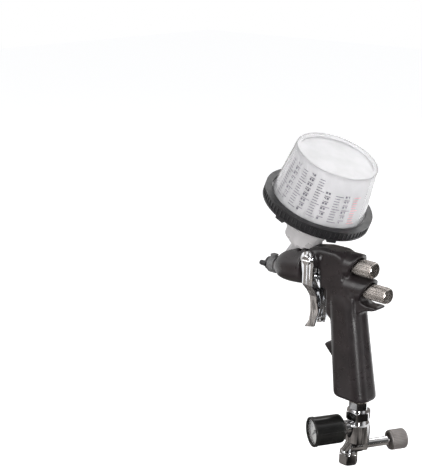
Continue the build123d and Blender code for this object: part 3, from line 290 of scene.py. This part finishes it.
def near_neighbours(node, reach):
    """The triangles of every other node whose box comes within reach of this one's, in one tree."""
    points, faces = [], []
    low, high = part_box(node)
    for name in NODES:
        a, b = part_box(name)
        if name == node or any(b[i] < low[i] - reach or a[i] > high[i] + reach for i in range(3)):
            continue
        mesh = NODES[name].data
        base = len(points)
        points.extend(v.co.copy() for v in mesh.vertices)
        faces.extend([base + i for i in polygon.vertices] for polygon in mesh.polygons)
    return BVHTree.FromPolygons(points, faces)


NEIGHBOUR_REACH = 0.002
SEARCH_REACH = 0.003
HELD_WITHIN = 0.0006
FREED_OVER = 0.0018


def moulded(name, node, look, body, voxel, rounds):
    """A copy of a CAD node with its outer edges and joins melted together as a moulding's are.
    What lies close to another piece keeps its exact place."""
    piece = new_piece(name, NODES[node].data.copy(), look, body)
    remesh = piece.modifiers.new("skin", "REMESH")
    remesh.mode = "VOXEL"
    remesh.voxel_size = voxel
    remesh.use_smooth_shade = True
    applied(piece)
    tree = near_neighbours(node, NEIGHBOUR_REACH)
    free = piece.vertex_groups.new(name="free")
    for vertex in piece.data.vertices:
        found = tree.find_nearest(vertex.co, SEARCH_REACH)
        distance = found[3] if found[0] is not None else SEARCH_REACH
        free.add([vertex.index], min(1.0, max(0.0, (distance - HELD_WITHIN) / FREED_OVER)), "REPLACE")
    smooth = piece.modifiers.new("melt", "SMOOTH")
    smooth.factor = 0.5
    smooth.iterations = rounds
    smooth.vertex_group = "free"
    applied(piece)
    piece.data.materials.clear()
    piece.data.materials.append(look.material)
    for polygon in piece.data.polygons:
        polygon.use_smooth = True
    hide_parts(node)


moulded("gun_body_moulding", "gun_body", body_look, "gun", voxel=0.0008, rounds=34)

# Each spring becomes a piece of its own, a copy of its mesh riding on the gun, and the CAD spring is hidden.
for node, slide in (("needle_spring", "needle_slide"), ("air_valve_spring", "air_valve_slide")):
    coil = new_piece(node + "_coil", NODES[node].data.copy(), spring_look, "gun")
    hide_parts(node)
    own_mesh(coil)


# ---- printed marks ----
class Marks:
    """Thin strokes laid on a surface given by two coordinates."""

    SEGMENTS = ("abcdef", "bc", "abged", "abgcd", "fgbc", "afgcd", "afgecd", "abc", "abcdefg", "gfabcd")
    NUMERAL_PITCH = 1.45

    def __init__(self, surface):
        self.surface = surface
        self.points = []
        self.faces = []

    def patch(self, low_v, high_v, low_u, high_u, pieces=3):
        base = len(self.points)
        for step in range(pieces + 1):
            u = low_u + (high_u - low_u) * step / pieces
            self.points += [self.surface(low_v, u), self.surface(high_v, u)]
        for step in range(pieces):
            a = base + 2 * step
            self.faces.append((a, a + 1, a + 3, a + 2))

    def digit(self, value, v, u, height, width, stroke, turn_stroke):
        """A plain numeral from seven strokes; v is up, u is to the reader's right."""
        top, middle = v + height, v + height / 2
        strokes = {
            "a": (top - stroke, top, u, u + width),
            "d": (v, v + stroke, u, u + width),
            "g": (middle - stroke / 2, middle + stroke / 2, u, u + width),
            "f": (middle, top, u, u + turn_stroke),
            "e": (v, middle, u, u + turn_stroke),
            "b": (middle, top, u + width - turn_stroke, u + width),
            "c": (v, middle, u + width - turn_stroke, u + width),
        }
        for key in self.SEGMENTS[value]:
            self.patch(*strokes[key], pieces=1)

    def number(self, value, v, u, height, width, stroke, turn_stroke):
        for place, digit in enumerate(str(value)):
            start = u + place * width * self.NUMERAL_PITCH
            self.digit(int(digit), v, start, height, width, stroke, turn_stroke)

    def piece(self, name, look, body, thick):
        mesh = bpy.data.meshes.new(name)
        mesh.from_pydata(self.points, [], self.faces)
        mesh.update()
        piece = new_piece(name, mesh, look, body)
        solid = piece.modifiers.new("ink", "SOLIDIFY")
        solid.thickness = thick
        solid.offset = 1.0


INK_GAP = 0.00004

# ---- scale on the cup: heights run along the cup's axis from its origin ----
CUP_ORIGIN = Vector((0.080, 0, 0.182))
CUP_RIM_HEIGHT, CUP_RIM_RADIUS = 0.079, 0.0465
CUP_END_HEIGHT, CUP_END_RADIUS = 0.134, 0.040
CUP_AXIS = Vector(JOINTS["cup_turn"]["axis"]).normalized()
CUP_SIDE = Vector((0, 1, 0))
CUP_FRONT = CUP_SIDE.cross(CUP_AXIS)
SCALE_TURN = 127
SCALE_COLUMNS = (-66, -53, -40, -27, -14, -1, 12, 25, 38)
NUMBERED_COLUMNS = (1, 3, 5, 7)
RED_COLUMN = 8
TALL_COLUMNS, TALL_ROWS, SHORT_ROWS = 5, 15, 11
SCALE_FOOT, ROW_PITCH = 0.0885, 0.0026
TICK, LONG_TICK_TURN, SHORT_TICK_TURN = 0.0006, 10.5, 7.0
SCALE_NUMERAL = (0.0019, math.radians(2.4), TICK, math.radians(0.7))


def cup_point(height, turn):
    share = (height - CUP_RIM_HEIGHT) / (CUP_END_HEIGHT - CUP_RIM_HEIGHT)
    radius = CUP_RIM_RADIUS + share * (CUP_END_RADIUS - CUP_RIM_RADIUS) + INK_GAP
    return CUP_ORIGIN + CUP_AXIS * height + (CUP_FRONT * math.cos(turn) + CUP_SIDE * math.sin(turn)) * radius


grey = Marks(cup_point)
red = Marks(cup_point)
for column, offset in enumerate(SCALE_COLUMNS):
    marks = red if column == RED_COLUMN else grey
    start = math.radians(SCALE_TURN) + math.radians(offset)
    for row in range(TALL_ROWS if column < TALL_COLUMNS else SHORT_ROWS):
        height = SCALE_FOOT + row * ROW_PITCH
        if column in NUMBERED_COLUMNS and row % 2 == 0:
            marks.number(row * 5 + column, height, start, *SCALE_NUMERAL)
        else:
            length = math.radians(LONG_TICK_TURN if row % 5 == 0 else SHORT_TICK_TURN)
            marks.patch(height, height + TICK, start, start + length)
grey.piece("cup_scale_marks", print_look, "paint_cup", 0.00006)
red.piece("cup_scale_marks_red", red_print_look, "paint_cup", 0.00006)

# ---- gauge dial ----
outward = -Vector(JOINTS["pointer_turn"]["axis"]).normalized()
reader_right = outward.cross(UP) * -1
dial_depth = max(v.co.dot(outward) for v in NODES["gauge_dial"].data.vertices)
gauge_pivot = Vector(JOINTS["pointer_turn"]["pos_m"])
dial_centre = gauge_pivot + outward * (dial_depth - gauge_pivot.dot(outward) + INK_GAP)
DIAL_HALF_SWEEP = 135
DIAL_STEPS, STEPS_PER_LONG_TICK, FIGURES = 50, 10, 6
TICK_OUTER, LONG_TICK_INNER, SHORT_TICK_INNER = 0.0118, 0.0098, 0.0108
LONG_TICK_HALF, SHORT_TICK_HALF, ARC_OUTER = 0.00011, 0.00006, 0.01195
FIGURE_RING, FIGURE_HEIGHT, FIGURE_WIDTH, FIGURE_GAP, FIGURE_STROKE = 0.0079, 0.0018, 0.0011, 0.0005, 0.00024


def dial_ring(radius, turn):
    """Turn is clockwise from the top, as the reader sees it."""
    return dial_centre + (UP * math.cos(turn) + reader_right * math.sin(turn)) * radius


def dial_flat(v, u):
    return dial_centre + UP * v + reader_right * u


def dial_turn(step, steps):
    """The turn of one of so many equal steps over the dial's sweep."""
    return math.radians(-DIAL_HALF_SWEEP + step * (2 * DIAL_HALF_SWEEP / steps))


ring = Marks(dial_ring)
for step in range(DIAL_STEPS + 1):
    turn = dial_turn(step, DIAL_STEPS)
    is_long = step % STEPS_PER_LONG_TICK == 0
    half = (LONG_TICK_HALF if is_long else SHORT_TICK_HALF) / TICK_OUTER
    inner = LONG_TICK_INNER if is_long else SHORT_TICK_INNER
    ring.patch(inner, TICK_OUTER, turn - half, turn + half, pieces=1)
ring.patch(TICK_OUTER, ARC_OUTER, dial_turn(0, 1), dial_turn(1, 1), pieces=60)
ring.piece("dial_ticks", pointer_look, "regulator", 0.00005)
figures = Marks(dial_flat)
for step in range(FIGURES):
    turn = dial_turn(step, FIGURES - 1)
    value = step * 2
    wide = FIGURE_WIDTH * len(str(value)) + FIGURE_GAP * (len(str(value)) - 1)
    foot = math.cos(turn) * FIGURE_RING - FIGURE_HEIGHT / 2
    left = math.sin(turn) * FIGURE_RING - wide / 2
    figures.number(value, foot, left, FIGURE_HEIGHT, FIGURE_WIDTH, FIGURE_STROKE, FIGURE_STROKE)
figures.piece("dial_figures", pointer_look, "regulator", 0.00005)

# ---- floor and background ----
scene = bpy.context.scene
scene.view_settings.view_transform = "Standard"


def seen_rays(graph):
    """One on rays that look at the background: from the camera, off gloss, or through glass."""
    rays = graph.add("ShaderNodeLightPath").outputs
    camera_or_gloss = graph.math("MAXIMUM", rays["Is Camera Ray"], rays["Is Glossy Ray"])
    return graph.math("MAXIMUM", camera_or_gloss, rays["Is Transmission Ray"])


# The floor takes the object's shadow and glows enough to meet the white background.
bpy.ops.mesh.primitive_plane_add(size=8, location=(0.2, 0, -0.10))
floor = bpy.context.object
floor.name = "floor"
floor_material = bpy.data.materials.new("floor_pale")
floor.data.materials.append(floor_material)
graph = Graph(floor_material, empty=True)
matte = graph.add("ShaderNodeBsdfDiffuse", {"Color": (0.82, 0.82, 0.82, 1)})
glow = graph.add("ShaderNodeEmission")
graph.link(graph.math("MULTIPLY", seen_rays(graph), 0.62), glow.inputs["Strength"])
both = graph.add("ShaderNodeAddShader")
graph.link(matte.outputs[0], both.inputs[0])
graph.link(glow.outputs[0], both.inputs[1])
graph.link(both.outputs[0], graph.add("ShaderNodeOutputMaterial").inputs["Surface"])

# The world lights softly and shows white, with a dim side that only polished surfaces mirror.
scene.world = bpy.data.worlds.new("studio")
graph = Graph(scene.world, empty=True)
light = graph.add("ShaderNodeBackground", {"Color": (0.97, 0.98, 1.0, 1), "Strength": 0.45})
shown = graph.add("ShaderNodeBackground", {"Strength": 1.0})
facing = graph.add("ShaderNodeVectorMath", operation="DOT_PRODUCT")
facing.inputs[1].default_value = Vector((-0.75, 0.62, 0.1)).normalized()
graph.link(graph.add("ShaderNodeTexCoord").outputs["Generated"], facing.inputs[0])
dim = graph.carried(facing.outputs["Value"], (0.15, 0.75), (0.0, 0.94), interpolation_type="SMOOTHSTEP")
mirrored = graph.add("ShaderNodeLightPath").outputs["Is Glossy Ray"]
tone = graph.add("ShaderNodeMix", {"A": (1, 1, 1, 1), "B": (0.02, 0.02, 0.02, 1)}, data_type="RGBA")
graph.link(graph.math("MULTIPLY", dim, mirrored), tone.inputs["Factor"])
graph.link(tone.outputs["Result"], shown.inputs["Color"])
pick = graph.add("ShaderNodeMixShader")
graph.link(seen_rays(graph), pick.inputs["Fac"])
graph.link(light.outputs[0], pick.inputs[1])
graph.link(shown.outputs[0], pick.inputs[2])
graph.link(pick.outputs[0], graph.add("ShaderNodeOutputWorld").inputs["Surface"])

# ---- lamps and flags, in metres and watts ----
MIDDLE = (0.03, 0, 0.17)


def aimed(place, aim, front):
    """The rotation that turns an object's front axis from its place towards its aim."""
    return (Vector(aim) - Vector(place)).to_track_quat(front, "Y").to_euler()


def soft_light(name, place, aim, width, height, power):
    lamp = bpy.data.lights.new(name, "AREA")
    lamp.shape = "RECTANGLE"
    lamp.size = width
    lamp.size_y = height
    lamp.energy = power
    holder = bpy.data.objects.new(name, lamp)
    bpy.context.collection.objects.link(holder)
    holder.location = place
    holder.rotation_euler = aimed(place, aim, "-Z")


def flag_material(name, low, high):
    """Cloudy card with tones from low to high."""
    material = bpy.data.materials.new(name)
    graph = Graph(material, empty=True)
    cloud = graph.add("ShaderNodeTexNoise", {"Scale": 14.0, "Detail": 2.0})
    graph.link(graph.add("ShaderNodeTexCoord").outputs["Object"], cloud.inputs["Vector"])
    glow = graph.add("ShaderNodeEmission", {"Color": (1.0, 0.92, 0.86, 1)})
    graph.link(graph.carried(cloud.outputs["Fac"], (0.42, 0.62), (low, high)), glow.inputs["Strength"])
    graph.link(glow.outputs[0], graph.add("ShaderNodeOutputMaterial").inputs["Surface"])
    return material


def flag(name, place, aim, width, height, low, high):
    """Grey studio flag that only polished surfaces mirror."""
    bpy.ops.mesh.primitive_plane_add(size=1, location=place)
    card = bpy.context.object
    card.name = name
    card.scale = (width, height, 1)
    card.rotation_euler = aimed(place, aim, "Z")
    card.visible_camera = False
    card.visible_diffuse = False
    card.visible_transmission = False
    card.visible_shadow = False
    card.data.materials.append(flag_material(name, low, high))


flag("flag_low", (-0.50, 0.45, -0.02), (-0.50, 0.45, 1), 1.1, 1.1, 0.01, 0.24)
flag("flag_room", (-1.25, 1.15, 0.45), MIDDLE, 1.5, 1.5, 0.02, 0.10)
flag("flag_front", (0.28, 0.33, 0.05), (0.04, 0, 0.16), 0.50, 0.30, 0.06, 0.75)
flag("flag_top", (0.0, 0.0, 1.1), MIDDLE, 1.0, 1.0, 0.03, 0.45)
flag("flag_back", (0.62, -0.78, 0.40), MIDDLE, 1.1, 0.7, 0.08, 0.55)
flag("flag_under", (0.24, -0.02, -0.06), (0.24, -0.02, 1), 0.36, 0.46, 0.03, 0.34)
flag("flag_rear", (-0.44, -0.55, 0.02), (-0.03, 0, 0.17), 0.5, 0.4, 0.04, 0.10)
soft_light("key", (0.55, 1.15, 0.95), MIDDLE, 0.9, 0.9, 7)
soft_light("fill", (-1.0, 0.78, 0.50), MIDDLE, 0.22, 1.2, 15)
soft_light("back", (0.1, -1.0, 1.2), MIDDLE, 1.0, 0.8, 4.5)

# ---- camera: behind the gun, on its left, looking down ----
TURN, DROP = math.radians(45), math.radians(16)
LOOK_POINT = Vector((0.020, 0, 0.200))
DISTANCE, SIDE_STEP, RISE = 1.0230, 0.12127, 0.02625
ahead = Vector((math.sin(TURN) * math.cos(DROP), -math.cos(TURN) * math.cos(DROP), -math.sin(DROP)))
right = Vector((-math.cos(TURN), -math.sin(TURN), 0))
above = right.cross(ahead)
camera = bpy.data.cameras.new("camera")
camera.lens = 82.0
camera.sensor_width = 36.0
camera.clip_start = 0.05
holder = bpy.data.objects.new("camera", camera)
bpy.context.collection.objects.link(holder)
place = LOOK_POINT - ahead * DISTANCE - right * SIDE_STEP + above * RISE
axes = Matrix((right, above, -ahead)).transposed().to_4x4()
holder.matrix_world = Matrix.Translation(place) @ axes
scene.camera = holder

bpy.context.view_layer.update()
